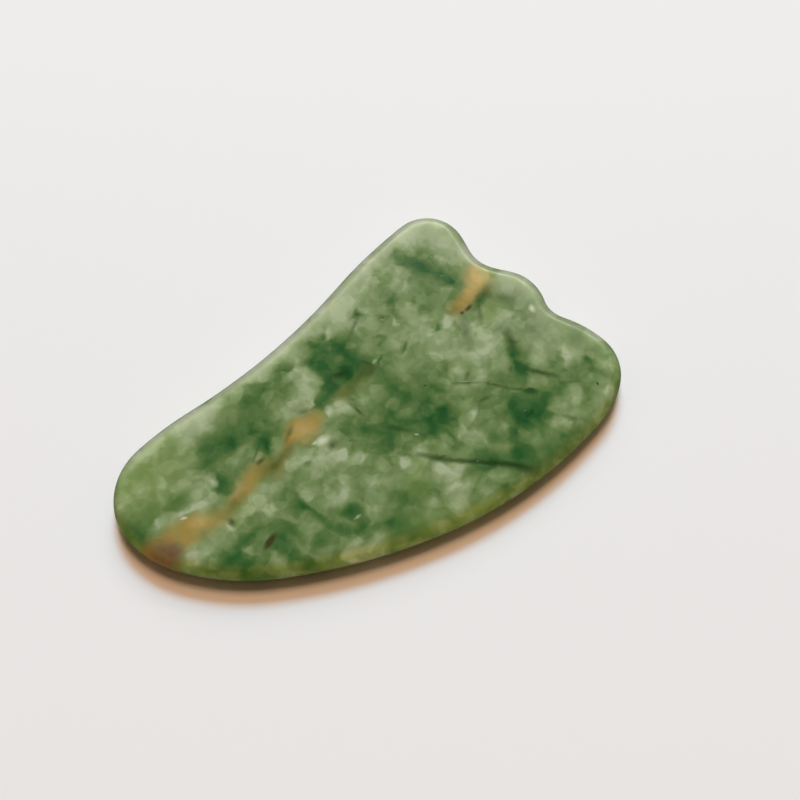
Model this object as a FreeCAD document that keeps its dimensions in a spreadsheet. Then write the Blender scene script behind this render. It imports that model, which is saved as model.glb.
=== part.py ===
import FreeCAD, Part
import math
import os
import Sketcher
from FreeCAD import Vector

# A gua sha scraper: one flat board of jade with a rounded rim all the way round.
# Frame: millimetres, +Z up, origin under the middle of the board's box, board lying flat.
# +X points to the two finger notches, -X to the broad tip, +Y to the hollow flank.

DIMENSIONS = {
    "board_thickness": 5.6,
    "rim_radius": 2.6,
    # Circles that are placed by their centres, counter-clockwise from the heel.
    "heel_x": 35.5,
    "heel_y": -17.5,
    "heel_radius": 9.5,
    "lower_notch_x": 48.3,
    "lower_notch_y": -6.7,
    "lower_notch_radius": 5.5,
    "middle_lobe_x": 36.0,
    "middle_lobe_y": 1.0,
    "middle_lobe_radius": 9.0,
    "upper_notch_x": 48.3,
    "upper_notch_y": 11.7,
    "upper_notch_radius": 7.0,
    "upper_lobe_x": 35.8,
    "upper_lobe_y": 20.7,
    "upper_lobe_radius": 7.8,
    "hollow_flank_x": -1.5,
    "hollow_flank_y": 146.0,
    "hollow_flank_radius": 120.0,
    "tip_shoulder_x": -32.5,
    "tip_shoulder_y": 15.9,
    "tip_shoulder_radius": 12.5,
    "tip_cheek_x": -5.5,
    "tip_cheek_y": 25.8,
    "tip_cheek_radius": 42.0,
    "belly_x": 25.5,
    "belly_y": 51.5,
    "belly_radius": 80.0,
    # Arcs that only touch the circle on either side, so they need no centre.
    "heel_side_radius": 22.0,
    "back_rise_radius": 105.0,
    "back_fall_radius": 60.0,
    "tip_radius": 21.0,
    "belly_rise_radius": 110.0,
    "heel_corner_radius": 17.5,
}

# The outline, counter-clockwise: what each stretch is, its name and which way it curves.
BULGE = 1
HOLLOW = -1
OUTLINE = [
    ("placed", "heel", BULGE),
    ("touching", "heel_side", BULGE),
    ("placed", "lower_notch", HOLLOW),
    ("straight", "lower_notch_wall", None),
    ("placed", "middle_lobe", BULGE),
    ("straight", "upper_notch_floor", None),
    ("placed", "upper_notch", HOLLOW),
    ("straight", "upper_notch_wall", None),
    ("placed", "upper_lobe", BULGE),
    ("touching", "back_rise", BULGE),
    ("placed", "hollow_flank", HOLLOW),
    ("touching", "back_fall", BULGE),
    ("placed", "tip_shoulder", BULGE),
    ("touching", "tip", BULGE),
    ("placed", "tip_cheek", BULGE),
    ("touching", "belly_rise", BULGE),
    ("placed", "belly", BULGE),
    ("touching", "heel_corner", BULGE),
]

# Sketcher's numbers for the sketch's origin and for the points of a curve.
ORIGIN = -1
START = 1
END = 2
CENTRE = 3

UP = Vector(0, 0, 1)


class Round:
    """A circle of the outline; its turn is its radius, below zero where the outline is hollow."""

    def __init__(self, centre, turn):
        self.centre = centre
        self.turn = turn

    def point(self, inward):
        """The point of the outline where its inward normal has the given direction."""
        return self.centre - inward * self.turn


def add_sheet(doc):
    sheet = doc.addObject("Spreadsheet::Sheet", "dimensions")
    for row, (alias, value) in enumerate(DIMENSIONS.items(), start=1):
        sheet.set(f"A{row}", alias)
        sheet.set(f"B{row}", str(value))
        sheet.setAlias(f"B{row}", alias)
    return sheet


def placed_round(sheet, name, curve):
    centre = Vector(sheet.get(f"{name}_x"), sheet.get(f"{name}_y"), 0)
    return Round(centre, curve * sheet.get(f"{name}_radius"))


def touching_round(before, after, turn):
    """The bulging arc of the given radius that touches the circles before and after it."""
    reach_before = turn - before.turn
    reach_after = turn - after.turn
    chord = after.centre - before.centre
    along = (reach_before**2 - reach_after**2 + chord.Length**2) / (2 * chord.Length)
    across = math.sqrt(reach_before**2 - along**2)
    side = math.copysign(1, reach_before * reach_after)
    direction = chord.normalize()
    centre = before.centre + direction * along + UP.cross(direction) * across * side
    return Round(centre, turn)


def meeting_point(before, after):
    """The point where two touching circles of the outline meet."""
    inward = (after.centre - before.centre) / (after.turn - before.turn)
    return before.point(inward)


def straight_ends(before, after):
    """The ends of the straight stretch that touches the circles before and after it."""
    chord = after.centre - before.centre
    lean = (after.turn - before.turn) / chord.Length
    direction = chord.normalize()
    inward = direction * lean + UP.cross(direction) * math.sqrt(1 - lean**2)
    return before.point(inward), after.point(inward)


def outline_rounds(sheet):
    """One Round for each stretch of the outline, and None for a straight one."""
    rounds = [None] * len(OUTLINE)
    for index, (kind, name, curve) in enumerate(OUTLINE):
        if kind == "placed":
            rounds[index] = placed_round(sheet, name, curve)
    for index, (kind, name, curve) in enumerate(OUTLINE):
        if kind == "touching":
            turn = curve * sheet.get(f"{name}_radius")
            rounds[index] = touching_round(rounds[index - 1], rounds[(index + 1) % len(OUTLINE)], turn)
    return rounds


def outline_curves(sheet):
    """The outline's arcs and lines, each of them starting where the one before it ends."""
    rounds = outline_rounds(sheet)
    count = len(OUTLINE)
    starts = [None] * count
    for index in range(count):
        before = rounds[index - 1]
        here = rounds[index]
        after = rounds[(index + 1) % count]
        if here is None:
            starts[index], starts[(index + 1) % count] = straight_ends(before, after)
        elif before is not None:
            starts[index] = meeting_point(before, here)
    curves = []
    for index, here in enumerate(rounds):
        start = starts[index]
        end = starts[(index + 1) % count]
        if here is None:
            curves.append(Part.LineSegment(start, end))
        else:
            curves.append(arc_of(here, start, end))
    return curves


def arc_of(here, start, end):
    """An arc always runs counter-clockwise, so a hollow one is drawn from its end to its start."""
    first, last = (start, end) if here.turn > 0 else (end, start)
    circle = Part.Circle(here.centre, UP, abs(here.turn))
    return Part.ArcOfCircle(circle, circle.parameter(first), circle.parameter(last))


def bind(sketch, constraint, name, formula):
    """Add a dimension to the sketch and let the sheet drive it."""
    index = sketch.addConstraint(constraint)
    sketch.renameConstraint(index, name)
    sketch.setExpression(f"Constraints.{name}", formula)


def draw_outline(sketch, sheet):
    sketch.addGeometry(outline_curves(sheet), False)
    ends = [(END, START) if curve == HOLLOW else (START, END) for _, _, curve in OUTLINE]
    for index in range(len(OUTLINE)):
        following = (index + 1) % len(OUTLINE)
        sketch.addConstraint(
            Sketcher.Constraint("Tangent", index, ends[index][1], following, ends[following][0])
        )
    for index, (kind, name, _) in enumerate(OUTLINE):
        if kind == "placed":
            x = sheet.get(f"{name}_x")
            y = sheet.get(f"{name}_y")
            across = Sketcher.Constraint("DistanceX", ORIGIN, START, index, CENTRE, x)
            along = Sketcher.Constraint("DistanceY", ORIGIN, START, index, CENTRE, y)
            bind(sketch, across, f"{name}_x", f"dimensions.{name}_x")
            bind(sketch, along, f"{name}_y", f"dimensions.{name}_y")
        if kind != "straight":
            radius = sheet.get(f"{name}_radius")
            size = Sketcher.Constraint("Radius", index, radius)
            bind(sketch, size, f"{name}_radius", f"dimensions.{name}_radius")


def origin_plane(body, role):
    return next(plane for plane in body.Origin.OriginFeatures if plane.Role == role)


def flat_faces(shape):
    """The names of the board's two broad faces, the under side and the upper side."""
    return [
        f"Face{number}"
        for number, face in enumerate(shape.Faces, start=1)
        if isinstance(face.Surface, Part.Plane) and abs(face.normalAt(0, 0).z) > 0.5
    ]


def make_board(doc, sheet):
    """The whole scraper: the outline, padded to its thickness and rounded along both edges."""
    body = doc.addObject("PartDesign::Body", "Board")
    body.Label = "scraper_board"
    body.Placement = FreeCAD.Placement()

    sketch = body.newObject("Sketcher::SketchObject", "Outline")
    sketch.AttachmentSupport = [(origin_plane(body, "XY_Plane"), "")]
    sketch.MapMode = "FlatFace"
    draw_outline(sketch, sheet)

    slab = body.newObject("PartDesign::Pad", "Slab")
    slab.Profile = sketch
    slab.setExpression("Length", "dimensions.board_thickness")
    doc.recompute()

    rim = body.newObject("PartDesign::Fillet", "Rim")
    rim.Base = (slab, flat_faces(slab.Shape))
    rim.setExpression("Radius", "dimensions.rim_radius")
    body.Tip = rim
    return body


def check(doc, parts):
    for thing in doc.Objects:
        if "Invalid" in thing.State or "Error" in thing.State:
            raise RuntimeError(f"{thing.Label} failed: {thing.State}")
    for part in parts:
        if part.Shape.isNull() or not part.Shape.isValid() or len(part.Shape.Solids) != 1:
            raise RuntimeError(f"{part.Label} is not one sound solid")


def export(parts):
    os.makedirs("parts", exist_ok=True)
    for part in parts:
        part.Shape.exportStep(f"parts/{part.Label}.step")
        box = part.Shape.optimalBoundingBox(False, False)
        print(f"{part.Label}: {box.XLength:.2f} x {box.YLength:.2f} x {box.ZLength:.2f} mm")


def main():
    doc = FreeCAD.newDocument("gua_sha_scraper")
    sheet = add_sheet(doc)
    doc.recompute()
    parts = [make_board(doc, sheet)]
    doc.recompute()
    check(doc, parts)
    export(parts)


main()
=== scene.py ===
import math
import random

import bpy
import numpy as np
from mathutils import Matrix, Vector, geometry, noise


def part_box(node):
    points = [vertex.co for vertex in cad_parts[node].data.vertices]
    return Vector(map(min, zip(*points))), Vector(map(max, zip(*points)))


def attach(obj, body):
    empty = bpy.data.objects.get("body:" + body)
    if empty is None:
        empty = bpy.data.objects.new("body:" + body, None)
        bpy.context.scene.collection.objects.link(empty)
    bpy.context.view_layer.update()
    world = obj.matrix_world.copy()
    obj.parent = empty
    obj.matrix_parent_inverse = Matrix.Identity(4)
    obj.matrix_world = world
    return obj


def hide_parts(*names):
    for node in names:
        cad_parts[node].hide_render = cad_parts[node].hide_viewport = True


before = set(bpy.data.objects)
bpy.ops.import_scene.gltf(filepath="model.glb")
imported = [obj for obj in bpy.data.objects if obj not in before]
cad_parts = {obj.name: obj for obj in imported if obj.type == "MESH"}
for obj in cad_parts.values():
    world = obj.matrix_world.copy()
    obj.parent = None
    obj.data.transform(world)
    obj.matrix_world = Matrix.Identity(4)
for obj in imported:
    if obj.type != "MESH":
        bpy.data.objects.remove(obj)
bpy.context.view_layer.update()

# Lengths are in metres. The stone's pattern is written in millimetres, and its material scales it once.
MM = 0.001
SEED = 7

# The board as the CAD says: where it is, and how thick.
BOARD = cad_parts["scraper_board"]
LOW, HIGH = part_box("scraper_board")
MIDDLE = (LOW + HIGH) / 2
THICKNESS = HIGH.z - LOW.z

# The rim is rounded by hand, so its section is a soft superellipse and not a true quarter round.
RIM_WIDTH = 2.6 * MM
RIM_FULLNESS = 1.85
RIM_RINGS = 14
OUTLINE_STEPS = 1000
STEPS_PER_CORNER = 40
OUTLINE_SMOOTHING = 0.5 * MM
FACE_STEP = 0.5 * MM

# The CAD rim is upright only this close to half height.
UPRIGHT_BAND = 0.05 * THICKNESS

# Lapping by hand leaves long, very shallow waves on the faces and along the rim. On a face they only go down,
# and they fade out towards its edge. Each surface reads the noise in a place of its own.
FACE_WAVE = 0.025 * MM
FACE_WAVE_LENGTH = 14 * MM
FACE_WAVE_FADE = 3 * MM
FACE_WAVE_DROP = 0.6
FACE_NOISE = 10
RIM_WAVE = 0.05 * MM
RIM_WAVE_LENGTH = 8 * MM
RIM_NOISE = 3
RIM_NOISE_GAP = 5 * MM

# The polishing pits that show most: x, y, radius and depth, in mm.
PLACED_PITS = [
    (-4.8, 1.3, 0.42, 0.14),
    (0.4, 1.6, 0.36, 0.10),
    (28.0, 2.5, 0.34, 0.12),
    (32.8, 14.0, 0.36, 0.12),
    (22.2, -17.2, 0.28, 0.09),
    (8.8, -17.8, 0.30, 0.09),
    (-19.2, -8.0, 0.26, 0.09),
    (-13.9, -1.3, 0.24, 0.08),
    (27.6, 20.6, 0.30, 0.09),
    (17.6, 15.2, 0.34, 0.10),
    (-39.5, 19.0, 0.30, 0.08),
    (10.8, -15.0, 0.26, 0.08),
    (36.0, -23.2, 0.30, 0.10),
    (34.3, -4.9, 0.24, 0.08),
]
# The others are strewn at random, clear of each other and of the face's edge.
LOOSE_PITS = 40
PIT_GAP = 2 * MM
PIT_MARGIN = 1 * MM
PIT_RADII = (0.10 * MM, 0.24 * MM)
PIT_DEPTHS = (0.25, 0.4)
# Round each pit the face has rings of closer points, at these shares of its radius.
PIT_RINGS = (0.3, 0.6, 0.85, 1.1, 1.4)
PIT_SPOKES = 14
PIT_CLEARING = 1.7


# ---------------------------------------------------------------- the board's shape


def cad_outline():
    """The corners of the CAD board's outline, once each, counter-clockwise."""
    points = np.array([vertex.co for vertex in BOARD.data.vertices])
    ring = points[np.abs(points[:, 2] - MIDDLE.z) < UPRIGHT_BAND, :2]
    ring = np.unique(np.round(ring, 7), axis=0)
    angles = np.arctan2(ring[:, 1] - MIDDLE.y, ring[:, 0] - MIDDLE.x)
    return ring[np.argsort(angles)]


def smooth_outline():
    """The outline as evenly spaced points on a smooth closed curve through the CAD's corners."""
    corners = cad_outline()
    after = np.roll(corners, -1, axis=0) - corners
    gap = np.linalg.norm(after, axis=1)[:, None]
    before_gap = np.roll(gap, 1, axis=0)
    slope = after / gap
    before_slope = np.roll(slope, 1, axis=0)
    tangent = (before_slope * gap + slope * before_gap) / (gap + before_gap)
    share = np.linspace(0, 1, STEPS_PER_CORNER, endpoint=False)[:, None, None]
    curve = (
        corners * (2 * share**3 - 3 * share**2 + 1)
        + np.roll(corners, -1, axis=0) * (3 * share**2 - 2 * share**3)
        + tangent * gap * (share**3 - 2 * share**2 + share)
        + np.roll(tangent, -1, axis=0) * gap * (share**3 - share**2)
    )
    dense = curve.transpose(1, 0, 2).reshape(-1, 2)
    even = even_spacing(dense, OUTLINE_STEPS)
    return blur_closed(even, OUTLINE_SMOOTHING)


def even_spacing(points, count):
    """The same closed line as points that are all equally far apart."""
    closed = np.vstack([points, points[:1]])
    travelled = np.concatenate([[0], np.cumsum(np.linalg.norm(np.diff(closed, axis=0), axis=1))])
    stops = np.linspace(0, travelled[-1], count, endpoint=False)
    return np.column_stack([np.interp(stops, travelled, closed[:, axis]) for axis in (0, 1)])


def blur_closed(points, reach):
    """Round off the changes of curvature where two arcs meet, as a grinding wheel does."""
    step = np.linalg.norm(points[1] - points[0])
    taps = 3
    spread = max(1, round(reach / step / taps))
    offsets = range(-taps, taps + 1)
    weights = [math.exp(-((offset / 2) ** 2)) for offset in offsets]
    rolled = [weight * np.roll(points, offset * spread, axis=0) for weight, offset in zip(weights, offsets)]
    return sum(rolled) / sum(weights)


def inward_normals(points):
    """The direction straight into the board at each point of its outline."""
    along = np.roll(points, -1, axis=0) - np.roll(points, 1, axis=0)
    along /= np.linalg.norm(along, axis=1)[:, None]
    return np.column_stack([-along[:, 1], along[:, 0]])


def wave(x, y, z, length, shift):
    """Smooth noise from about -1 to 1; the shift picks another stretch of it."""
    return noise.noise(Vector((x / length + shift, y / length, z / length)))


def rim_ring(outline, inward, angle, side):
    """One ring of the rim: angle 0 is its widest line, a quarter turn is where the face begins."""
    power = 2 / RIM_FULLNESS
    inset = RIM_WIDTH * (1 - max(0.0, math.cos(angle)) ** power)
    lift = THICKNESS / 2 * math.sin(angle) ** power
    flat = outline + inward * inset
    fade = math.cos(angle)
    ring = []
    for (x, y), (to_x, to_y) in zip(flat, inward):
        share = 0.5 + 0.5 * wave(x, y, side * RIM_NOISE_GAP, RIM_WAVE_LENGTH, RIM_NOISE)
        dent = RIM_WAVE * fade * share
        ring.append((x + to_x * dent, y + to_y * dent, MIDDLE.z + side * lift))
    return ring


def inside(points, loop):
    """Which points lie inside a closed loop."""
    result = np.zeros(len(points), dtype=bool)
    ahead = np.roll(loop, -1, axis=0)
    for (ax, ay), (bx, by) in zip(loop, ahead):
        crosses = (ay > points[:, 1]) != (by > points[:, 1])
        if ay != by:
            at = ax + (points[:, 1] - ay) * (bx - ax) / (by - ay)
            result ^= crosses & (points[:, 0] < at)
    return result


def loop_distance(points, loop):
    """How far each point is from the nearest corner of the loop."""
    nearest = np.full(len(points), np.inf)
    for corner in loop:
        nearest = np.minimum(nearest, np.hypot(points[:, 0] - corner[0], points[:, 1] - corner[1]))
    return nearest


def make_pits(face_loop, rng):
    """The pits of one face: x, y, radius and depth in metres."""
    pits = [tuple(value * MM for value in pit) for pit in PLACED_PITS]
    while len(pits) < len(PLACED_PITS) + LOOSE_PITS:
        x = rng.uniform(LOW.x, HIGH.x)
        y = rng.uniform(LOW.y, HIGH.y)
        radius = rng.uniform(*PIT_RADII)
        place = np.array([[x, y]])
        clear = all(math.hypot(x - pit[0], y - pit[1]) > PIT_GAP for pit in pits)
        if clear and inside(place, face_loop)[0] and loop_distance(place, face_loop)[0] > PIT_MARGIN:
            pits.append((x, y, radius, radius * rng.uniform(*PIT_DEPTHS)))
    return pits


def face_points(face_loop, pits):
    """A triangular grid over the face, with rings of closer points round every pit."""
    rows = np.arange(LOW.y, HIGH.y, FACE_STEP * math.sqrt(3) / 2)
    grid = [
        (x + FACE_STEP / 2 * (number % 2), y)
        for number, y in enumerate(rows)
        for x in np.arange(LOW.x, HIGH.x, FACE_STEP)
    ]
    grid = np.array(grid)
    grid = grid[inside(grid, face_loop)]
    grid = grid[loop_distance(grid, face_loop) > FACE_STEP * 0.6]
    for x, y, radius, _ in pits:
        grid = grid[np.hypot(grid[:, 0] - x, grid[:, 1] - y) > radius * PIT_CLEARING]
    rings = []
    for x, y, radius, _ in pits:
        rings.append((x, y))
        for share in PIT_RINGS:
            for turn in np.linspace(0, 2 * math.pi, PIT_SPOKES, endpoint=False):
                reach = radius * share
                rings.append((x + reach * math.cos(turn + share), y + reach * math.sin(turn + share)))
    return np.vstack([grid, np.array(rings)])


def face_heights(points, face_loop, pits, shift):
    """How far each point of a face stands from the flat: waves, faded out at the rim, less the pits."""
    fade = np.clip(loop_distance(points, face_loop) / FACE_WAVE_FADE, 0, 1)
    waves = np.array([wave(x, y, 0, FACE_WAVE_LENGTH, shift) for x, y in points])
    heights = FACE_WAVE * np.minimum(waves - FACE_WAVE_DROP, 0) * fade
    for x, y, radius, depth in pits:
        share = np.hypot(points[:, 0] - x, points[:, 1] - y) / radius
        heights -= depth * np.clip(1 - share**2, 0, 1) ** 1.5
    return heights


def triangulate(loop, points):
    """Triangles that fill the loop, using its corners first and then the points inside it."""
    corners = [Vector(point) for point in np.vstack([loop, points])]
    edges = [(index, (index + 1) % len(loop)) for index in range(len(loop))]
    made, _, faces, origins, _, _ = geometry.delaunay_2d_cdt(corners, edges, [], 1, 1e-7)
    back = [origin[0] for origin in origins]
    return [tuple(back[corner] for corner in face) for face in faces]


def make_board():
    """The scraper as one closed mesh: rings round the rim, and a finer skin on both faces."""
    rng = random.Random(SEED)
    outline = smooth_outline()
    inward = inward_normals(outline)
    face_loop = outline + inward * RIM_WIDTH
    steps = len(outline)
    angles = np.linspace(0, math.pi / 2, RIM_RINGS + 1)

    vertices = rim_ring(outline, inward, 0, 1)
    faces = []
    for side in (1, -1):
        first = 0
        for angle in angles[1:]:
            second = len(vertices)
            vertices += rim_ring(outline, inward, angle, side)
            for index in range(steps):
                following = (index + 1) % steps
                quad = (first + index, first + following, second + following, second + index)
                faces.append(quad if side > 0 else quad[::-1])
            first = second
        pits = make_pits(face_loop, rng)
        points = face_points(face_loop, pits)
        heights = face_heights(points, face_loop, pits, side * FACE_NOISE)
        skin = len(vertices)
        for (x, y), height in zip(points, heights):
            vertices.append((x, y, MIDDLE.z + side * (THICKNESS / 2 + height)))
        for triangle in triangulate(face_loop, points):
            corners = [first + corner if corner < steps else skin + corner - steps for corner in triangle]
            faces.append(tuple(corners if side > 0 else corners[::-1]))

    mesh = bpy.data.meshes.new("jade_board")
    mesh.from_pydata(vertices, [], faces)
    mesh.validate()
    mesh.shade_smooth()
    board = bpy.data.objects.new("jade_board", mesh)
    bpy.context.collection.objects.link(board)
    return board


# ---------------------------------------------------------------- nodes


def add_node(tree, kind, inputs=None, **settings):
    """Add a shader node; an input takes a plain value or another node's output."""
    made = tree.nodes.new(kind)
    for setting, value in settings.items():
        setattr(made, setting, value)
    for key, value in (inputs or {}).items():
        if isinstance(value, bpy.types.NodeSocket):
            tree.links.new(value, made.inputs[key])
        else:
            made.inputs[key].default_value = value
    return made


def calculate(tree, operation, *values, clamp=False):
    inputs = dict(enumerate(values))
    return add_node(tree, "ShaderNodeMath", inputs, operation=operation, use_clamp=clamp).outputs[0]


def move(tree, operation, *values):
    inputs = dict(enumerate(values))
    return add_node(tree, "ShaderNodeVectorMath", inputs, operation=operation).outputs[0]


def scaled(tree, vector, size):
    return add_node(tree, "ShaderNodeVectorMath", {0: vector, "Scale": size}, operation="SCALE").outputs[0]


def blended(tree, first, second, share, blend="MIX"):
    """Mix two colours. The node's colour sockets are numbered, because other sockets share their names."""
    inputs = {0: share, 6: first, 7: second}
    return add_node(tree, "ShaderNodeMix", inputs, data_type="RGBA", blend_type=blend).outputs[2]


def speckle(tree, point, size, detail=3.0, roughness=0.5, channel=0):
    """Soft noise whose lumps are about the given size; channel 1 gives three values at once."""
    inputs = {"Vector": point, "Scale": 1 / size, "Detail": detail, "Roughness": roughness}
    return add_node(tree, "ShaderNodeTexNoise", inputs).outputs[channel]


def grains(tree, point, size, softness):
    """Rounded grains packed side by side: each one's own random colour, and its centre."""
    inputs = {"Vector": point, "Scale": 1 / size, "Smoothness": softness}
    made = add_node(tree, "ShaderNodeTexVoronoi", inputs, feature="SMOOTH_F1")
    return made.outputs["Color"], made.outputs["Position"]


def between(tree, value, low, high, out_low=0.0, out_high=1.0):
    """A soft step as value goes from low to high."""
    inputs = {0: value, 1: low, 2: high, 3: out_low, 4: out_high}
    return add_node(tree, "ShaderNodeMapRange", inputs, interpolation_type="SMOOTHSTEP").outputs[0]


def shades(tree, value, stops):
    """A colour ramp from (place, colour) stops."""
    ramp = add_node(tree, "ShaderNodeValToRGB", {0: value})
    while len(ramp.color_ramp.elements) < len(stops):
        ramp.color_ramp.elements.new(0.5)
    for element, (place, colour) in zip(ramp.color_ramp.elements, stops):
        element.position = place
        element.color = screen_colour(colour)
    return ramp.outputs[0]


def screen_colour(colour):
    """The renderer's linear value of a screen colour, given as three numbers up to 255."""
    parts = [part / 255 for part in colour]
    return [part / 12.92 if part <= 0.04045 else ((part + 0.055) / 1.055) ** 2.4 for part in parts] + [1]


def patches(tree, point, places, fullness=1.1):
    """Soft oval columns of stone: each is x, y, half length, half width, turn in degrees, strength."""
    total = 0.0
    for x, y, half_length, half_width, turn, strength in places:
        inputs = {
            "Vector": point,
            "Location": (x, y, 0),
            "Rotation": (0, 0, math.radians(turn)),
            "Scale": (half_length * PATCH_FRINGE, half_width * PATCH_FRINGE, PATCH_DEPTH),
        }
        shrunk = add_node(tree, "ShaderNodeMapping", inputs, vector_type="TEXTURE").outputs[0]
        oval = add_node(tree, "ShaderNodeTexGradient", {"Vector": shrunk}, gradient_type="SPHERICAL")
        total = calculate(tree, "MULTIPLY_ADD", oval.outputs["Fac"], strength * fullness, total)
    return calculate(tree, "MINIMUM", total, 1.0)


# ---------------------------------------------------------------- the stone

# A patch fades out at this many times its half size, and it goes nearly straight through the stone.
PATCH_FRINGE = 1.45
PATCH_DEPTH = 60
# Every place is pulled this share of the way to the middle of its grain, so patches have grainy edges.
GRAIN_STEP = 0.25
# The grains: size in mm, softness, and how much they lighten or darken the stone.
GRAINS = [(4.0, 0.45, 0.17), (2.2, 0.4, 0.17), (1.1, 0.4, 0.07)]
# The tone that the stone has where nothing else is added, and how it grows lighter per mm along X and Y.
BASE_TONE = 0.57
CLOUD_DRIFT = (0.0012, 0.0030, 0)
CRYSTAL_CELL = 3.3
# The stone's colours from its darkest tone to its palest, as screen colours.
TONES = [
    (0.00, (4, 56, 16)),
    (0.15, (22, 78, 31)),
    (0.30, (48, 96, 46)),
    (0.45, (75, 111, 59)),
    (0.60, (100, 126, 73)),
    (0.75, (126, 147, 97)),
    (0.90, (154, 169, 128)),
    (1.00, (174, 186, 152)),
]
# Milky stone with painted sheen: partly the stone's own milky tone, partly a painted reflection of the lamps,
# which lies pale over the far edges and lobes.
MILKY_AND_SHEEN = (178, 184, 158)
SPRING = (134, 156, 84)
OCHRE = (166, 144, 78)
AMBER = (204, 178, 116)
OLIVE = (94, 100, 44)
RUST = (124, 97, 73)
CRACK = (24, 58, 18)
BROWN = (70, 72, 34)
WHITE = (206, 214, 186)
# The rim that faces the lobes' way, towards the lamps, is tinted greyer and darker than the faces: painted
# shade. The rim along the belly, which faces away from the lamps and lies in shade, is tinted clearer and
# brighter: painted light.
LOBES_WAY = (0.71, 0.70, 0)
LAMP_SIDE_PAINTED_SHADE = (0.82, 0.76, 0.88, 1)
BELLY_PAINTED_LIGHT = (1.7, 1.62, 1.48, 1)

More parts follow.
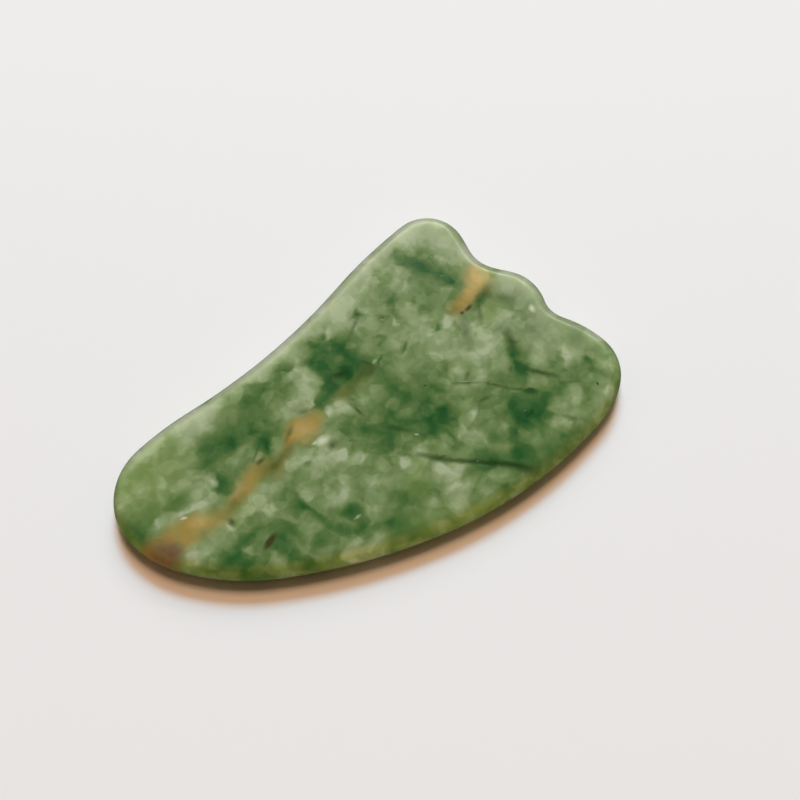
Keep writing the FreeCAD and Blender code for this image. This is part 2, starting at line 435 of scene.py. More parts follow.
# Every patch is in mm on the board: x, y, half length, half width, turn in degrees, strength.
EMERALD_PATCHES = [
    (4.6, 14, 3.4, 5, 0, 0.4),
    (-11.2, 15.2, 2, 1.6, 0, 0.5),
    (-16.2, -14.6, 1.8, 1.2, 0, 0.4),
    (1.6, 17.4, 1.6, 2, 0, 0.5),
    (6.2, -12.5, 1.8, 1.8, 0, 0.3),
    (-28.8, 2.4, 2, 1.8, 0, 0.35),
    (6.2, -20, 2, 1.8, 0, 0.45),
    (-1.2, 2.5, 1.8, 2, 0, 0.5),
    (3.8, 0, 2.4, 2.4, 0, 0.5),
    (1.2, -7.5, 1.8, 1.8, 0, 0.45),
    (13.8, 2.5, 2, 2, 0, 0.4),
    (18.8, -2.6, 2, 1.8, 0, 0.4),
    (25, 7.4, 3, 1.4, 0, 0.4),
    (18.8, -15, 1.8, 1.8, 0, 0.45),
    (16.2, -17.6, 2, 1.8, 0, 0.45),
    (11.2, 7.4, 1.8, 1.6, 0, 0.4),
    (28.8, 17.6, 1.6, 2.4, 0, 0.35),
    (-18.8, 0, 1.8, 2, 0, 0.4),
    (-6.2, 15, 2, 1.6, 0, 0.4),
    (33.4, 20, 1.3, 2.8, -12, 0.5),
    (8.8, -25, 2.4, 1.4, 0, 0.5),
    (24.5, -26, 5, 1.4, 0, 0.35),
    (-5, 17.4, 2.6, 1.6, 0, 0.75),
    (-24, -5, 2.2, 2.2, 0, 0.6),
    (-22.6, 11.4, 3, 1.8, 0, 0.5),
    (21.2, 15, 2, 2, 0, 0.5),
    (-26.4, -2.6, 2, 1.8, 0, 0.45),
    (9, -5, 2.6, 2.6, 0, 0.6),
    (31, -10, 2, 2, 0, 0.4),
    (-9, -10, 2.2, 2.2, 0, 0.5),
    (-42.8, 15.5, 2.6, 4.2, 0, 0.65),
    (-34, 14.6, 2.3, 1.5, -10, 0.55),
    (-26.8, 10.5, 1.5, 2.0, 10, 0.65),
    (-26.5, 12.6, 0.8, 1.6, 0, 0.5),
    (-27, 16.3, 2.0, 1.4, 0, 0.4),
    (-23.6, 17.6, 2.6, 2.2, -20, 0.4),
    (-21, 16, 2, 1.6, 0, 0.5),
    (-21, 16.5, 6, 4, 30, 0.3),
    (-18, 17.2, 3, 2.4, 0, 0.6),
    (-16.4, 13.8, 2, 2.8, -10, 0.45),
    (-16.6, 10.8, 1.5, 2.4, -20, 0.9),
    (-12.6, 20.8, 3, 2.0, -20, 0.5),
    (-11, 18, 4, 2.4, 0, 0.45),
    (-7.8, 20.6, 3, 2, -40, 0.6),
    (-4.2, 20, 2, 1.5, 0, 0.5),
    (-14.6, 16.5, 1.8, 3, 0, 0.5),
    (-14, 12.5, 1.8, 2, 0, 0.35),
    (3.9, 16.8, 3.0, 4.2, 0, 1.0),
    (2.2, 13.4, 2.8, 3.4, 20, 0.9),
    (-1.2, 11, 3.2, 1.5, 15, 0.9),
    (-4.2, 11, 1.5, 0.7, -10, 0.5),
    (6, 15, 2.6, 3.6, -20, 0.9),
    (8.2, 16.2, 2.2, 2.2, -40, 0.45),
    (5.8, 12, 3.4, 2.2, -25, 1.0),
    (7, 20.6, 0.9, 0.8, -40, 0.6),
    (7.8, 9.6, 2.2, 2.2, -30, 0.6),
    (13.6, 0.6, 3, 3, 0, 0.45),
    (14.5, -3, 3, 2, 0, 0.35),
    (10.6, 9, 1.3, 0.5, 10, 0.7),
    (5, 9, 3, 1.6, 0, 0.5),
    (1, 7, 0.8, 2.5, 0, 0.5),
    (9, 6, 2.5, 2.5, 0, 0.25),
    (8, 2.2, 2.2, 2, 0, 0.5),
    (3, 3, 3, 1.5, 0, 0.35),
    (-4, 3.3, 1.5, 1, 0, 0.4),
    (13.4, 11, 2, 2.4, 30, 0.45),
    (-1, 0.5, 1.6, 2, 20, 0.55),
    (-1, -3, 2, 1.8, 20, 0.55),
    (1, -3, 4, 3, -45, 0.15),
    (6.5, -2, 5.5, 4.5, 0, 0.45),
    (10, -5, 4.5, 4, 0, 0.3),
    (6.6, -8.4, 2.8, 2.4, 0, 0.7),
    (7.6, -12.6, 1.6, 2, 0, 0.35),
    (10, -8.4, 2.6, 2.6, 30, 0.75),
    (11.8, -6.8, 1.2, 1.1, 30, 0.6),
    (9, -11.4, 0.9, 1.6, -10, 0.5),
    (12, -3.5, 2.5, 1.8, 0, 0.35),
    (-9, -17, 2.6, 2, -40, 0.7),
    (-11.4, -14.4, 1.6, 1.5, -50, 0.5),
    (-6, -12.5, 1.2, 3, 20, 0.35),
    (10, -19.5, 2, 3, 30, 0.6),
    (14.6, -23, 3, 3, -40, 0.6),
    (19.5, -25, 4, 2, 0, 0.4),
    (31, -18, 2.6, 2.6, 0, 0.6),
    (34, -19.5, 3, 2, 0, 0.35),
    (39, -19.5, 3, 2.4, 0, 0.35),
    (17.6, -20, 3.6, 2, 40, 0.8),
    (21.6, -18, 2.2, 2.2, 20, 1.0),
    (25.2, -17.6, 2.8, 2.0, 0, 0.45),
    (23.0, -20.6, 4.2, 2, 18, 0.7),
    (22, -14.6, 2.2, 1.2, 0, 0.5),
    (20, -15, 2.6, 2, 0, 0.5),
    (27.5, -12.5, 2.4, 2.4, 0, 0.4),
    (-35.5, 0.8, 3, 2, -20, 0.5),
    (-33, -1.2, 2, 3, -10, 0.5),
    (-33.4, -4.4, 2.8, 1.4, -40, 0.5),
    (-29, 0.3, 3, 1, -20, 0.6),
    (-27, -6, 1.6, 3, 5, 0.75),
    (-20, -1.5, 1.4, 1.6, 0, 0.65),
    (-18.9, -4.5, 0.8, 3, 10, 0.55),
    (-21.8, -8.8, 1.6, 1.2, 0, 0.5),
    (-17.5, -10, 1.1, 2.2, 30, 0.65),
    (-14, -8.8, 1.8, 0.9, -10, 0.7),
    (-14.6, -11.8, 1.6, 2, -30, 0.5),
    (-25, -11.4, 2.4, 1.2, -30, 0.45),
    (-13.3, 3.4, 0.7, 0.8, 0, 0.55),
    (31.2, 17.6, 1.7, 5.6, 12, 1.1),
    (29.6, 22.8, 1.2, 1.6, 0, 0.5),
    (33, 12.4, 1.8, 2.6, 10, 0.9),
    (15.2, 19.2, 1.3, 1.1, 30, 1.1),
    (21.8, 17.8, 1.6, 2.4, -10, 0.5),
    (17.8, 15.4, 0.9, 0.8, 0, 0.4),
    (26, 12.5, 4, 3, 0, 0.4),
    (23.5, 6.2, 1.5, 0.9, 0, 1.0),
    (34.4, 5.0, 2.6, 1.1, 10, 1.1),
    (29.5, -8.3, 1.8, 1.4, 40, 0.95),
    (31.2, -5.8, 1.1, 2, -35, 0.6),
    (28.3, -11, 1.3, 1.3, -30, 1.1),
    (24.5, -9.8, 2.5, 1.5, -40, 0.4),
    (26, -15.5, 1, 1, -60, 0.9),
    (37.8, -18.6, 1.3, 0.8, 0, 0.6),
    (37, -22, 1.6, 2.4, 45, 0.3),
]
PALE_PATCHES = [
    (-8, 23.4, 5, 1.8, 0, 0.2),
    (-6.2, -2.6, 2, 1.8, 0, 0.4),
    (18.8, -7.6, 1.8, 1.6, 0, 0.4),
    (18.8, 22.6, 3, 1.8, 0, 0.45),
    (27.6, -26, 5, 2, 0, 0.5),
    # This patch is painted light: it lifts the heel's rim, which faces away from the lamps and lies in shade.
    (35.5, -25.5, 3.6, 1.8, 20, 0.7),
    (-21.4, -14.6, 1.8, 1.6, 0, 0.5),
    (1.2, -24.6, 2.4, 1.4, 0, 0.4),
    (-36.4, -2.6, 1.6, 2, 0, 0.4),
    (-24, -12.6, 1.8, 1.6, 0, 0.4),
    (31, 0.4, 4, 2.6, 0, 0.3),
    (21.2, 0, 2, 2, 0, 0.5),
    (28.6, 0.4, 2, 2, 0, 0.3),
    (18.8, 7.6, 1.8, 1.6, 0, 0.5),
    (1.2, -20, 2.2, 1.8, 0, 0.5),
    (3.8, -15, 2, 1.8, 0, 0.45),
    (-31.4, 10.8, 2, 1.2, 0, 0.5),
    (36.2, -2.6, 2, 2, 0, 0.3),
    (41, -22, 2, 2.6, 0, 0.6),
    (38.6, -10, 2, 2, 0, 0.4),
    (-7.5, 5, 2.6, 1.6, 0, 0.6),
    (-38.6, 12.7, 2.6, 1.4, 0, 0.6),
    (-13.8, 5, 2, 1.6, 0, 0.6),
    (-26.2, 22.6, 2.4, 1.6, 0, 0.5),
    (21.4, 10, 2, 1.8, 0, 0.5),
    (0, 20.4, 2, 1.6, 0, 0.5),
    (-43.8, 20, 2, 2, 0, 0.5),
    (-20.8, 23.9, 2.8, 2.2, 0, 0.9),
    (-25.4, 21, 2.4, 1.6, -20, 0.6),
    (-31, 25.6, 5, 1.6, 0, 0.4),
    (-25.6, 24.4, 1.6, 1.8, 0, 0.6),
    (-17, 24.6, 2.4, 1.4, 0, 0.6),
    (-37.8, 21.7, 1.2, 1.2, 0, 0.4),
    (-28.5, 19.2, 2, 1.2, -15, 0.4),
    (-39, 13.8, 1.5, 0.9, 20, 0.45),
    (-33, 11.7, 2.6, 0.8, -15, 0.8),
    (-29.5, 13.3, 2.6, 2, 0, 0.5),
    (-27.6, 12.7, 0.7, 1, 0, 0.7),
    (-22.6, 12.4, 1.6, 1.3, 0, 0.7),
    (-20, 13.2, 2, 1.2, -15, 0.4),
    (-17.8, 10.8, 0.9, 0.9, 0, 0.6),
    (-37.5, 4.8, 3, 1.8, 0, 0.8),
    (-41, 12.6, 2, 1.2, 20, 0.5),
    (-34, 12.8, 2.4, 1.4, 0, 0.3),
    (-27, 4.8, 4, 1.2, 5, 0.3),
    (-18, 4.6, 2.4, 1.6, 20, 0.5),
    (-33.5, 19, 5, 4, 0, 0.4),
    (-41, 20.5, 2.4, 3.2, 30, 0.5),
    (-31.2, 5, 0.9, 1.3, 20, 0.5),
    (-22, 5.4, 2.2, 1.2, 20, 0.7),
    (-15, 5.5, 1.6, 1, 25, 0.6),
    (-24, 2.4, 2.5, 2, 20, 0.5),
    (-12, 2.4, 3, 2.4, 0, 0.9),
    (-8.4, 2, 2.4, 3, 0, 0.9),
    (-14.5, -5, 2.6, 2.4, 0, 0.5),
    (-13, -5.5, 2.4, 1.8, 0, 0.7),
    (-24.8, -6.5, 0.6, 2.4, 5, 0.5),
    (-22.5, -5, 1.3, 1.8, 0, 0.35),
    (-29.5, -6, 0.9, 1.6, 0, 0.4),
    (-31, -1.5, 0.8, 1.6, 0, 0.5),
    (-16.8, -15.6, 3.6, 2.2, -25, 1.0),
    (-11.5, -10.6, 1.4, 1.2, 0, 0.5),
    (-11.8, -13, 1.0, 1.6, 15, 0.4),
    (-9.6, 14.2, 1.6, 2.4, -20, 0.9),
    (-6.5, 14.3, 1.5, 1, 0, 0.5),
    (-3.5, 15.5, 3, 3, 10, 0.55),
    (-2.2, 18.5, 1.4, 1.6, 0, 0.4),
    (-1, 23, 3, 2, 0, 0.6),
    (13.5, 22.5, 4, 2, 0, 0.5),
    (10.5, 20, 2, 2, 0, 0.4),
    (-4.5, 12.3, 1.5, 0.7, 0, 0.6),
    (-3, 8.2, 0.8, 1.3, -25, 0.9),
    (-1, 7.5, 1, 1.6, 0, 0.5),
    (-8, 0.3, 1.1, 1.3, 0, 0.9),
    (-6, -2.2, 1.6, 1.1, -25, 1.0),
    (12.8, 21.3, 0.9, 2, -30, 0.5),
    (8.2, 20.2, 0.5, 1.6, -45, 0.6),
    (2.3, 6, 1.3, 1.6, 0, 0.4),
    (14.8, 9.8, 1.1, 1.4, 30, 0.5),
    (13.2, 17.4, 1.5, 1.5, 0, 0.4),
    (-1.2, -8.8, 1.4, 1.2, 0, 0.8),
    (-0.5, -12.5, 3, 2, 0, 0.5),
    (-0.5, -22, 4, 2, -15, 0.5),
    (6, -24.6, 3, 1.6, -15, 0.5),
    (3, -8, 1.5, 1.6, 0, 0.4),
    (7, -11, 1.3, 1, 0, 0.8),
    (-7.5, -8, 2.5, 2, 0, 0.45),
    (-9, -11, 2.2, 2, 0, 0.4),
    (7, -14, 2.6, 1, -40, 0.6),
    (3.5, -14.2, 1.4, 1.1, 0, 1.0),
    (1.3, -14.6, 0.8, 1.2, -20, 0.4),
    (2.2, -18.2, 1.5, 0.9, 0, 0.9),
    (4.3, -19.8, 1.8, 1.0, 0, 1.0),
    (-2.7, -17.5, 1.3, 1.1, 0, 0.6),
    (5.6, -16.6, 2, 1.2, -35, 0.5),
    (11.2, -12.4, 0.9, 1, 0, 0.7),
    (12, -14, 1.6, 1, 0, 0.65),
    (12.8, -16, 0.9, 1.4, -10, 0.6),
    (15, -11.2, 1.4, 0.7, 25, 0.8),
    (15.5, -9, 1.6, 1.2, 30, 0.45),
    (16.5, -15.5, 2, 2, 0, 0.4),
    (17.5, -6, 1.4, 1.4, 0, 0.6),
    (19.3, -3, 1.6, 1.5, -30, 0.8),
    (22.2, -6.2, 2, 1.1, -15, 0.6),
    (13.8, -19.5, 0.8, 1.5, 20, 0.45),
    (19.5, -22, 2, 1.6, -10, 0.45),
    (9, -22.5, 2.6, 1.4, -35, 0.4),
    (17, -25.2, 1.2, 1, 0, 0.55),
    (24.3, -23.5, 2, 1.5, -10, 0.6),
    (27.8, -23.5, 1.3, 2, 30, 0.45),
    (30.6, -22, 2, 1.5, 0, 0.45),
    (22.3, 13.5, 1.3, 1.6, 30, 0.5),
    (18.6, 13, 0.6, 1.9, -15, 0.7),
    (25.8, 16.7, 0.9, 1.4, -30, 0.4),
    (26, 6, 0.9, 1.6, -20, 0.7),
    (20.5, 3.5, 3, 2, 20, 0.35),
    (36, 18, 2.6, 2.2, 0, 0.35),
    (26.3, -3.4, 2.8, 2.4, 0, 1.0),
    (22, 5.6, 3.4, 2, 20, 0.4),
    (28, 0.3, 2, 1, 0, 0.5),
    (30, -5.2, 0.9, 1.1, -20, 0.5),
    (28, -14, 1.3, 1.1, 20, 0.8),
    (31.5, -12, 1.8, 1.6, 40, 0.6),
    (37.4, -15.4, 2.4, 2.2, 0, 0.8),
    (38.5, -10.5, 2.4, 3, 0, 0.5),
    (33.5, -11, 2.4, 2.2, 0, 0.4),
    (36.8, -14, 1, 2, -35, 0.5),
]
# Milky stone and painted sheen along the far edges and the lobes, where the lamps' reflection would lie.
MILKY_AND_SHEEN_PATCHES = [
    (-4, 24.6, 8, 1.6, 0, 0.3),
    (39.4, 11, 2, 2, 0, 1.0),
    (40, 4.6, 2.6, 2.2, 0, 0.6),
    (39.6, -6, 2.4, 2.6, 0, 0.5),
    (39.6, 20, 3.2, 6.4, 0, 0.75),
    (36, 25, 4, 2.4, 0, 0.8),
    (40.5, 13, 2, 3, 0, 0.8),
    (33, 26.4, 6, 1.8, 0, 0.7),
    (20, 25.2, 9, 2.2, 4, 0.8),
    (4, 24.2, 12, 2.2, 0, 0.8),
    (-10, 24.6, 8, 1.4, -4, 0.6),
    (-21, 24.8, 4, 2.2, 0, 1.0),
    (-30, 26.4, 8, 1.4, 2, 0.6),
    (42, 1.5, 3.4, 5, 0, 0.8),
    (42, -12, 2.4, 8, 0, 0.45),
    (36, -8, 4, 4, 0, 0.3),
]
SPRING_PATCHES = [
    (-26.4, 4.8, 3, 1.5, 0, 1.0),
    (-35, 21, 8, 5.5, 8, 0.95),
    (-2, -13, 3.5, 2.5, 10, 0.7),
    (1.2, -11.4, 1.6, 1, 0, 0.7),
    (33.5, 1.5, 3, 2.2, 0, 0.9),
    (28, 0, 2.5, 1.5, 0, 0.4),
    (37, 11.6, 1.5, 2, 0, 0.5),
    (-5, -20, 10, 2.6, -22, 0.6),
    (3, -25, 6, 1.5, -15, 0.5),
    (-23, -13.6, 3, 1.4, -30, 0.6),
]
OCHRE_PATCHES = [
    (-43.4, 9.3, 3.4, 3.2, 0, 1.0),
    (-44, 11, 2, 1.6, -50, 0.8),
    (-39.4, 9.2, 4, 2.6, 0, 1.0),
    (-36, 10.4, 3, 1.2, -20, 0.6),
    (-34.2, 8.1, 3.6, 2.2, -12, 1.0),
    (-28.2, 6.9, 4, 1.3, 8, 0.85),
    (-22.6, 8.2, 4.2, 1.7, 16, 1.0),
    (-18.0, 7.3, 2.4, 2, 0, 0.9),
    (-14.6, 7.8, 3, 1.3, 5, 0.7),
    (-12.4, 9.2, 2, 1.2, 20, 0.7),
    (-9.3, 8.8, 3.1, 2.7, 10, 1.0),
    (-6, 9.2, 2.4, 2, 0, 0.8),
    (-9.4, 11.2, 2, 1, 0, 0.6),
    (1, 9.2, 2, 1.1, 0, 0.5),
    (4.4, 8.7, 3.4, 1.4, 0, 0.4),
    (7.8, 9.3, 1.6, 1.2, 0, 0.6),
    (37.4, 8.5, 2.4, 2.7, 0, 1.0),
    (36, 5.2, 2, 1, 10, 0.6),
    (34.6, 7.7, 2.6, 1.6, 20, 1.0),
    (31.2, 6.6, 2.8, 1.6, 15, 1.0),
    (28.6, 6.7, 2, 1.5, 0, 0.7),
]
RUST_PATCHES = [
    (-43.4, 9.6, 3.8, 2.8, -50, 1.0),
    (-41.2, 7, 2.2, 1.8, -40, 0.8),
    (-41, 8.8, 1.6, 2, 0, 0.4),
]
AMBER_PATCHES = [
    (38.6, 8.6, 1.8, 2.0, 0, 0.9),
    (-33.6, 9.6, 2, 1.2, 0, 0.5),
    (37.4, 8.3, 2.4, 1.9, 0, 1.0),
    (34, 7.8, 2, 1.2, 20, 0.6),
    (-34, 8.4, 2, 1.2, 0, 0.35),
    (-9.3, 9, 2.4, 2, 0, 0.5),
]
OLIVE_PATCHES = [
    (-28, 6.6, 3, 1.4, 0, 0.7),
    (-18, 7.4, 2.4, 2, 0, 0.9),
    (-14.5, 7.7, 2.6, 1.4, 0, 0.8),
    (3, 8.9, 6, 1.6, 0, 0.9),
    (7.8, 9.3, 2, 1.6, 0, 0.9),
    (36, 5.2, 2.2, 1.2, 10, 1.0),
    (28.6, 6.4, 1.4, 1.4, 0, 0.5),
]
# Healed cracks: long thin lenses of dark stone.
CRACKS = [
    (3.9, -12.2, 3.4, 0.63, -56, 0.8),
    (7.4, -16.8, 3.2, 0.54, -49, 0.9),
    (10.9, -20.9, 3.2, 0.63, -51, 0.95),
    (13.6, -24.7, 2.8, 0.9, -58, 1.0),
    (3.2, -3.3, 2.8, 0.45, -54, 0.6),
    (30.2, -14.3, 3.9, 0.57, -60, 0.9),
    (24.4, -13.4, 2.8, 0.38, -54, 0.6),
    (18.8, -5.8, 2.5, 0.33, -43, 0.7),
    (22.2, -9.8, 1.8, 0.33, -56, 0.7),
    (20, -4.7, 0.9, 0.38, 20, 0.5),
    (31.2, -5.6, 3.4, 0.9, 61, 0.7),
    (26.8, -9.6, 0.9, 0.38, 40, 0.5),
    (37.2, 1.7, 3.3, 1, -62, 0.4),
    (27, 2.2, 3, 1, 58, 0.5),
    (31.7, 2.8, 2.4, 0.52, 52, 0.6),
    (12.4, 17.8, 2.6, 0.45, 25, 0.6),
    (3.5, 12.3, 2.1, 0.8, -34, 1.0),
    (-18.8, 9.9, 1.0, 0.48, 0, 1.0),
    (-18.5, 11.5, 1.7, 0.27, 32, 0.6),
    (18.6, -10.4, 1.6, 0.38, -20, 0.5),
    (8.7, 10.6, 0.3, 1.4, 20, 0.7),
    (32.6, -19.5, 1.6, 0.38, -40, 0.4),
    (27.5, -25, 2.4, 0.45, -55, 0.4),
    (14.5, 12.8, 1.4, 0.45, -35, 0.5),
    (16, 7.7, 1.8, 0.45, 25, 0.6),
    (-11.5, 10.2, 1.8, 0.52, 25, 0.6),
    (-6.5, 11.7, 1, 0.52, -20, 0.6),
    (0.6, 4.7, 0.35, 1.7, 0, 0.7),
]
BROWN_SPOTS = [
    (-27.8, -2.5, 1.6, 0.6, 12, 1.0),
    (30.9, 5, 0.9, 0.4, 0, 0.9),
    (29.2, 5.1, 0.4, 0.35, 0, 0.8),
    (-7.5, 2.9, 1, 0.7, 10, 0.5),
    (35.8, -23.2, 0.35, 0.18, 50, 0.9),
    (13, -0.6, 0.3, 0.18, -30, 0.9),
    (26, -15.4, 0.35, 0.45, 0, 0.6),
    (-30.2, 4.9, 0.5, 0.8, -20, 0.5),
]
WHITE_FLECKS = [
    (-8.2, 4.9, 1.3, 0.8, -12, 1.0),
    (-9.6, 5.6, 0.5, 0.3, 0, 0.6),
    (39.4, -3.8, 0.55, 0.8, -25, 0.85),
    (-35.6, 11.5, 0.6, 0.2, -28, 0.9),
    (-27.4, 12.6, 0.6, 0.8, 0, 0.4),
    (-3, 8.3, 0.7, 1.1, -25, 0.5),
    (10, 9.6, 0.6, 0.3, 10, 0.4),
    (-14, -10.1, 0.7, 0.25, -10, 0.5),
    (4.7, -6.5, 0.4, 0.2, -50, 0.6),
    (15, -11.3, 1.2, 0.4, 25, 0.4),
    (18.9, -5.5, 0.9, 0.12, -42, 0.35),
]


def unevenness(tree, point, size):
    """Noise in three directions at once, about zero."""
    return move(tree, "SUBTRACT", speckle(tree, point, size, 2.0, channel=1), (0.5, 0.5, 0.5))


def chance(tree, colour):
    """One random value from 0 to 1, taken out of a cell's random colour."""
    return add_node(tree, "ShaderNodeSeparateColor", {0: colour}).outputs[0]


def stone_points(tree):
    """Places in the stone in mm: as they are, pushed about broadly and finely, and pushed only finely."""
    place = add_node(tree, "ShaderNodeTexCoord").outputs["Object"]
    point = scaled(tree, place, 1 / MM)
    broad = unevenness(tree, point, 6.0)
    fine = unevenness(tree, point, 1.3)
    pushed = move(tree, "ADD", point, scaled(tree, broad, 2.2))
    pushed = move(tree, "ADD", pushed, scaled(tree, fine, 0.8))
    return point, pushed, move(tree, "ADD", point, scaled(tree, fine, 0.5))


def grain_tones(tree, point):
    """Light and dark grains of three sizes, as one tone about zero, and the largest grains' centres."""
    tone = 0.0
    centres = []
    for size, softness, weight in GRAINS:
        colour, centre = grains(tree, point, size, softness)
        grey = calculate(tree, "SUBTRACT", chance(tree, colour), 0.5)
        tone = calculate(tree, "MULTIPLY_ADD", grey, weight, tone)
        centres.append(centre)
    return tone, centres[0]


def crystals(tree, point):
    """Rounded pale crystals: one in about half of the cells, each of its own brightness."""
    cell = add_node(tree, "ShaderNodeTexVoronoi", {"Vector": point, "Scale": 1 / CRYSTAL_CELL})
    body = between(tree, cell.outputs["Distance"], 0.52, 0.30)
    present = between(tree, chance(tree, cell.outputs["Color"]), 0.45, 0.75)
    return calculate(tree, "MULTIPLY", body, present)


def stone_tone(tree, point, pushed, stepped, grain_tone):
    """How light the stone is, from 0 to 1: its clouds, grains, crystals, and pale and emerald patches."""
    drift = add_node(tree, "ShaderNodeVectorMath", {0: point, 1: CLOUD_DRIFT}, operation="DOT_PRODUCT")
    tone = calculate(tree, "ADD", grain_tone, drift.outputs["Value"])
    for layer, weight in (
        (speckle(tree, point, 7.0, 4.0), 0.3),
        (patches(tree, stepped, PALE_PATCHES), 0.32),
        (patches(tree, stepped, EMERALD_PATCHES), -0.45),
        (crystals(tree, pushed), 0.11),
    ):
        tone = calculate(tree, "MULTIPLY_ADD", layer, weight, tone)
    return calculate(tree, "ADD", tone, BASE_TONE)


def vein_colour(tree, pushed):
    """The ochre vein's colour, with amber, olive and rust places along it."""
    colour = screen_colour(OCHRE)
    for tint, places in ((AMBER, AMBER_PATCHES), (OLIVE, OLIVE_PATCHES), (RUST, RUST_PATCHES)):
        colour = blended(tree, colour, screen_colour(tint), patches(tree, pushed, places))
    return colour


def stone_colour(tree):
    """The jade's colour, from its clouds and grains up to its cracks and flecks, with a painted sheen in the
    milky patches and painted light and shade on the rim.
    """
    point, pushed, sharp = stone_points(tree)
    grain_tone, centre = grain_tones(tree, pushed)
    pull = scaled(tree, move(tree, "SUBTRACT", centre, pushed), GRAIN_STEP)
    stepped = move(tree, "ADD", pushed, pull)

    colour = shades(tree, stone_tone(tree, point, pushed, stepped, grain_tone), TONES)
    # Milky patches, partly stone and partly painted sheen, then spring-green stone.
    for tint, places, strength in ((MILKY_AND_SHEEN, MILKY_AND_SHEEN_PATCHES, 0.7), (SPRING, SPRING_PATCHES, 0.5)):
        share = calculate(tree, "MULTIPLY", patches(tree, stepped, places), strength)
        colour = blended(tree, colour, screen_colour(tint), share)

    mottle = between(tree, speckle(tree, pushed, 1.6, 4.0), 0.3, 0.6, 0.7, 1.0)
    vein = calculate(tree, "MULTIPLY", patches(tree, pushed, OCHRE_PATCHES), mottle)
    colour = blended(tree, colour, vein_colour(tree, pushed), vein)

    cracks = calculate(tree, "MULTIPLY", patches(tree, sharp, CRACKS), 0.85)
    colour = blended(tree, colour, screen_colour(CRACK), cracks)
    colour = blended(tree, colour, screen_colour(BROWN), patches(tree, sharp, BROWN_SPOTS, fullness=1.8))
    colour = blended(tree, colour, screen_colour(WHITE), patches(tree, sharp, WHITE_FLECKS, fullness=1.3))
    return paint_rim_light_and_shade(tree, colour), point


def paint_rim_light_and_shade(tree, colour):
    """Paint light and shade on the rim by the way that it faces: painted shade where it faces the lamps,
    painted light along the belly, which is in shade; the flat faces keep their colour.
    """
    outwards = add_node(tree, "ShaderNodeTexCoord").outputs["Normal"]
    dot = add_node(tree, "ShaderNodeVectorMath", {0: outwards, 1: LOBES_WAY}, operation="DOT_PRODUCT")
    side = dot.outputs["Value"]
    # Painted shade on the rim facing the lamps, and painted light on the belly's rim, which lies in shade.
    painted_shade_share = calculate(tree, "MULTIPLY", between(tree, side, 0.0, 0.35), between(tree, side, 1.0, 0.6))
    painted_light_share = between(tree, side, -0.2, -0.8)
    colour = blended(tree, colour, LAMP_SIDE_PAINTED_SHADE, painted_shade_share, "MULTIPLY")
    return blended(tree, colour, BELLY_PAINTED_LIGHT, painted_light_share, "MULTIPLY")


def make_jade():
    """Polished jade: cloudy and translucent, with a satin surface that is never quite even."""
    material = bpy.data.materials.new("jade")
    material.use_nodes = True
    tree = material.node_tree
    tree.nodes.clear()
    colour, point = stone_colour(tree)
    roughness = between(tree, speckle(tree, point, 4.0, 5.0), 0.3, 0.7, 0.15, 0.25)
    polish = speckle(tree, point, 0.35, 3.0)
    bump = add_node(tree, "ShaderNodeBump", {"Height": polish, "Strength": 0.10, "Distance": 0.05 * MM})
    inputs = {
        "Base Color": colour,
        "Roughness": roughness,
        "IOR": 1.6,
        "Specular IOR Level": 0.35,
        "Normal": bump.outputs[0],
        "Subsurface Weight": 1.0,
        "Subsurface Radius": (1.0, 1.05, 0.65),
        "Subsurface Scale": 9.0 * MM,
    }
    shader = add_node(tree, "ShaderNodeBsdfPrincipled", inputs)
    surface = tree.nodes.new("ShaderNodeOutputMaterial")
    tree.links.new(shader.outputs[0], surface.inputs["Surface"])
    return material


# ---------------------------------------------------------------- the studio

# Bearings go round the board. A lamp's bearing of 0 is straight across the board from the camera.
CAMERA_BEARING = math.radians(-45.5)
CAMERA_HEIGHT = math.radians(64)
CAMERA_DISTANCE = 211.7 * MM
LAMP_DISTANCE = 3.0
FLOOR_REACH = 1.5
SQUARE = [(-1, -1), (1, -1), (1, 1), (-1, 1)]
# The camera looks at a place on the floor a little past the board's middle.
AIM = Vector((MIDDLE.x + 9.5 * MM, MIDDLE.y + 2.45 * MM, LOW.z))
TOWARDS_CAMERA = Vector((math.sin(CAMERA_BEARING), -math.cos(CAMERA_BEARING), 0))
TO_THE_RIGHT = Vector((math.cos(CAMERA_BEARING), math.sin(CAMERA_BEARING), 0))


def face_towards(thing, target):
    thing.rotation_euler = (target - thing.location).to_track_quat("-Z", "Y").to_euler()


def make_camera():
    data = bpy.data.cameras.new("camera")
    data.lens = 50
    data.sensor_width = 36
    data.dof.use_dof = False
    data.clip_start = 0.01
    camera = bpy.data.objects.new("camera", data)
    back = TOWARDS_CAMERA * math.cos(CAMERA_HEIGHT) + Vector((0, 0, math.sin(CAMERA_HEIGHT)))
    camera.location = AIM + back * CAMERA_DISTANCE
    face_towards(camera, AIM)
    bpy.context.collection.objects.link(camera)
    bpy.context.scene.camera = camera


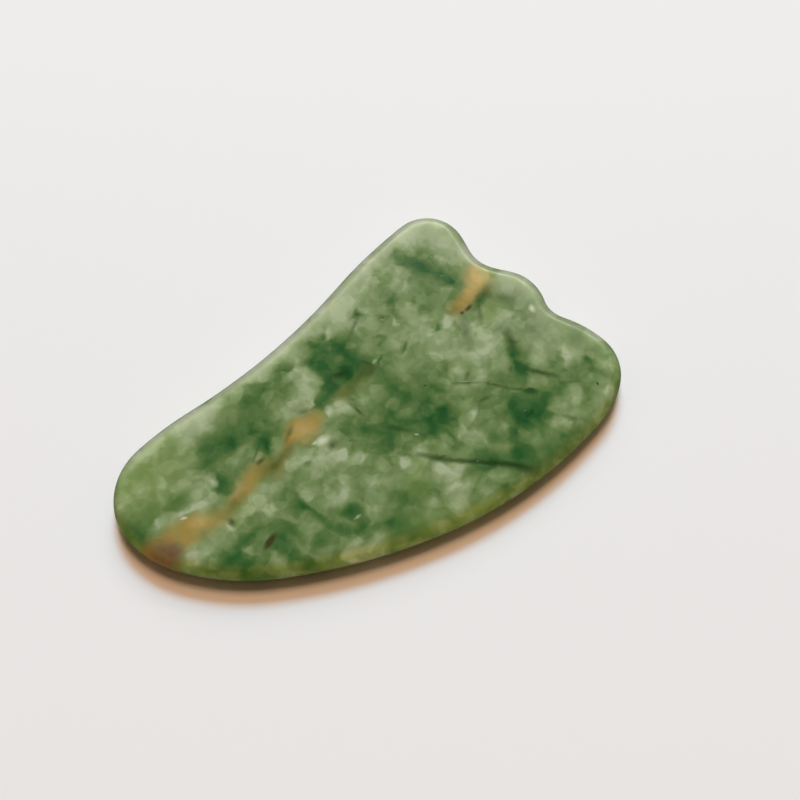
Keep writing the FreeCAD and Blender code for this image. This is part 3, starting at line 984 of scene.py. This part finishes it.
def make_lamp(name, height, bearing, wide, tall, light, colour, mirrored=True):
    """A soft lamp: its place and size in degrees as the board sees it, and the light it adds to the floor."""
    turn = math.radians(bearing)
    rise = math.radians(height)
    level = TO_THE_RIGHT * math.sin(turn) - TOWARDS_CAMERA * math.cos(turn)
    data = bpy.data.lights.new(name, "AREA")
    data.shape = "RECTANGLE"
    data.size = 2 * LAMP_DISTANCE * math.tan(math.radians(wide / 2))
    data.size_y = 2 * LAMP_DISTANCE * math.tan(math.radians(tall / 2))
    data.energy = light * (math.pi * LAMP_DISTANCE) ** 2 / math.sin(rise)
    data.color = colour
    lamp = bpy.data.objects.new(name, data)
    lamp.location = AIM + (level * math.cos(rise) + Vector((0, 0, math.sin(rise)))) * LAMP_DISTANCE
    lamp.visible_glossy = mirrored
    face_towards(lamp, AIM)
    bpy.context.collection.objects.link(lamp)


def make_floor():
    mesh = bpy.data.meshes.new("floor")
    corners = [(across * FLOOR_REACH, along * FLOOR_REACH, LOW.z) for across, along in SQUARE]
    mesh.from_pydata(corners, [], [(0, 1, 2, 3)])
    material = bpy.data.materials.new("pale_floor")
    material.use_nodes = True
    shader = material.node_tree.nodes["Principled BSDF"]
    shader.inputs["Base Color"].default_value = screen_colour((238, 237, 237))
    shader.inputs["Roughness"].default_value = 0.85
    mesh.materials.append(material)
    floor = bpy.data.objects.new("floor", mesh)
    floor.visible_glossy = False
    bpy.context.collection.objects.link(floor)
    return floor


def make_world():
    world = bpy.data.worlds.new("studio")
    world.use_nodes = True
    background = world.node_tree.nodes["Background"]
    background.inputs["Color"].default_value = (1.0, 0.56, 0.30, 1)
    background.inputs["Strength"].default_value = 0.06
    bpy.context.scene.world = world


bpy.context.scene.view_settings.view_transform = "Standard"
make_camera()
make_lamp("window", 38, 0, 34, 32, 0.17, (1.0, 0.97, 0.95))
make_lamp("window_glow", 46, 1, 20, 11, 0.52, (0.34, 0.77, 1.05), mirrored=False)
make_lamp("ceiling", 67, 1, 16, 18, 0.46, (1.0, 0.62, 0.38), mirrored=False)
make_lamp("left_wall", 40, -80, 50, 30, 0.055, (1.0, 0.65, 0.35), mirrored=False)
make_lamp("right_wall", 40, 80, 50, 30, 0.055, (1.0, 0.65, 0.35), mirrored=False)
make_lamp("bright_strip", 36, 14, 34, 3, 0.06, (0.95, 1.0, 1.0))
make_world()
make_floor()

board = make_board()
board.data.materials.append(make_jade())
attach(board, "root")
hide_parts("scraper_board")
